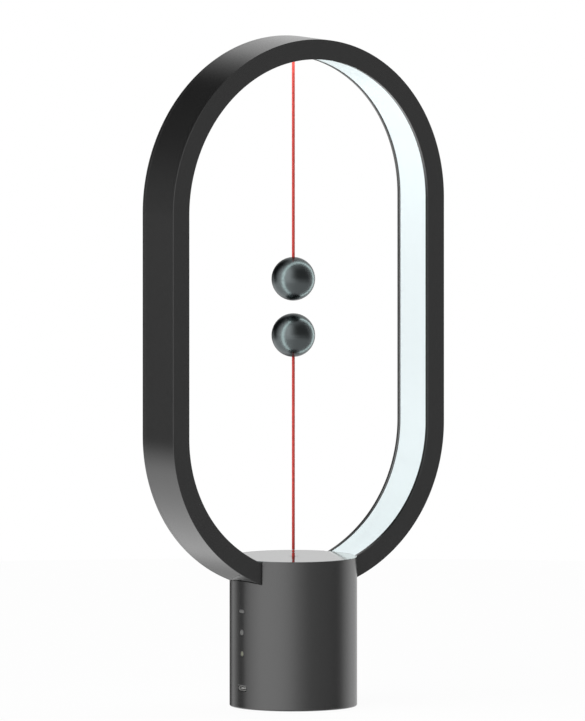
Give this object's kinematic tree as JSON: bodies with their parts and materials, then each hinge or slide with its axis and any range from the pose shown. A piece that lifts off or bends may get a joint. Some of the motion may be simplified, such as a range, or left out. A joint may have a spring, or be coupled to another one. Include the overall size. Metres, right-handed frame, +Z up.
{
  "type": "magnetic balance lamp",
  "caption": "Table lamp with an upright lit oblong loop on a round base; balls on red cords pull together magnetically across an air gap and work the light's pull switch.",
  "frame": {"origin": "centre of the underside of the round base, on the surface that the lamp stands on", "axes": "+Z up along the lamp's height; X across the loop's width, with the charging port and the buttons on the -X side; Y through the loop's opening, the front facing -Y"},
  "size_m": [0.2, 0.076, 0.4],
  "materials": {
    "loop_plastic": "satin moulded ABS, near black",
    "opal_diffuser": "opal polycarbonate, lit from behind, cool white",
    "strip_board": "white flexible circuit strip",
    "led_phosphor": "yellow phosphor over LED chips",
    "base_plastic": "satin painted dark grey ABS",
    "cap_plastic": "smooth dark grey ABS that mirrors at a low angle",
    "white_nylon": "natural nylon",
    "bright_steel": "zinc plated steel",
    "foot_rubber": "fine grained rubber sheet",
    "weight_iron": "bare cast iron",
    "battery_sleeve": "plain shrink sleeve",
    "board_green": "solder resist on glass fibre board",
    "black_component": "moulded component housings",
    "light_pipe": "clear acrylic light pipe",
    "button_grey": "light grey moulded buttons",
    "red_cord": "braided red polyester cord",
    "ball_gunmetal": "polished gunmetal plated ABS",
    "magnet_nickel": "nickel plated neodymium",
    "wire_white": "silicone insulated wire"
  },
  "bodies": {
    "lamp": {"loop_channel": "loop_plastic", "loop_back_cover": "loop_plastic", "diffuser": "opal_diffuser", "led_strip": "strip_board", "led_chips": "led_phosphor", "upper_anchor": "white_nylon", "upper_bush": "bright_steel", "base_shell": "base_plastic", "top_cap": "cap_plastic", "cord_eyelet": "cap_plastic", "loop_saddle": "white_nylon", "bottom_cover": "base_plastic", "foot_pad": "foot_rubber", "iron_weight": "weight_iron", "battery": "battery_sleeve", "battery_cradle": "white_nylon", "battery_contacts": "bright_steel", "control_board": "board_green", "board_parts": "black_component", "charging_port": "bright_steel", "tact_switches": "black_component", "charge_led": "led_phosphor", "charge_light": "light_pipe", "cord_guide": "white_nylon", "slider_cage": "white_nylon", "return_spring": "bright_steel", "micro_switch": "black_component", "lever_pin": "bright_steel", "upper_cord_inner": "red_cord", "upper_anchor_knot": "red_cord", "bottom_screws": "bright_steel", "loop_screws": "bright_steel", "saddle_screws": "bright_steel", "cap_screws": "bright_steel", "board_screws": "bright_steel", "cradle_screws": "bright_steel", "cage_screws": "bright_steel", "switch_screws": "bright_steel", "inner_leads": "wire_white"},
    "upper_bend": {"upper_cord_bend": "red_cord"},
    "upper_ball": {"upper_cord": "red_cord", "upper_ball_cord_half": "ball_gunmetal", "upper_ball_magnet_half": "ball_gunmetal", "upper_magnet": "magnet_nickel", "upper_ball_knot": "red_cord"},
    "pull_slider": {"pull_slider": "white_nylon", "slider_knot": "red_cord", "lower_cord_inner": "red_cord"},
    "lower_bend": {"lower_cord_bend": "red_cord"},
    "lower_ball": {"lower_cord": "red_cord", "lower_ball_cord_half": "ball_gunmetal", "lower_ball_magnet_half": "ball_gunmetal", "lower_magnet": "magnet_nickel", "lower_ball_knot": "red_cord"},
    "switch_lever": {"switch_lever": "bright_steel"},
    "power_button": {"power_button": "button_grey", "power_plunger": "white_nylon"},
    "mode_button": {"mode_button": "button_grey", "mode_plunger": "white_nylon"}
  },
  "joints": [
    {"name": "upper_swing_side", "type": "hinge", "parent": "lamp", "child": "upper_bend", "pos_m": [0, 0, 0.3868], "axis": [0, 1, 0], "range_deg": [-34, 34]},
    {"name": "upper_swing_front", "type": "hinge", "parent": "upper_bend", "child": "upper_ball", "pos_m": [0, 0, 0.3868], "axis": [1, 0, 0], "range_deg": [-75, 75]},
    {"name": "pull_travel", "type": "slide", "parent": "lamp", "child": "pull_slider", "axis": [0, 0, 1], "range_m": [-0.002, 0], "stiffness_N_per_m": 250, "springref_m": 0.002, "deforming": ["return_spring"]},
    {"name": "lower_swing_side", "type": "hinge", "parent": "pull_slider", "child": "lower_bend", "pos_m": [0, 0, 0.0926], "axis": [0, 1, 0], "range_deg": [-34, 34], "stiffness_Nm_per_rad": 0.04},
    {"name": "lower_swing_front", "type": "hinge", "parent": "lower_bend", "child": "lower_ball", "pos_m": [0, 0, 0.0926], "axis": [1, 0, 0], "range_deg": [-75, 75], "stiffness_Nm_per_rad": 0.04},
    {"name": "switch_lever_turn", "type": "hinge", "parent": "lamp", "child": "switch_lever", "pos_m": [0.0224, 0, 0.0535], "axis": [0, 1, 0], "range_deg": [-7.7, 0]},
    {"name": "power_press", "type": "slide", "parent": "lamp", "child": "power_button", "axis": [1, 0, 0], "range_m": [0, 0.0005], "stiffness_N_per_m": 800, "springref_m": -0.0006},
    {"name": "mode_press", "type": "slide", "parent": "lamp", "child": "mode_button", "axis": [1, 0, 0], "range_m": [0, 0.0005], "stiffness_N_per_m": 800, "springref_m": -0.0006}
  ],
  "couplings": [
    {"joint": "switch_lever_turn", "follows": "pull_travel", "rad_per_m": 66.866}
  ]
}
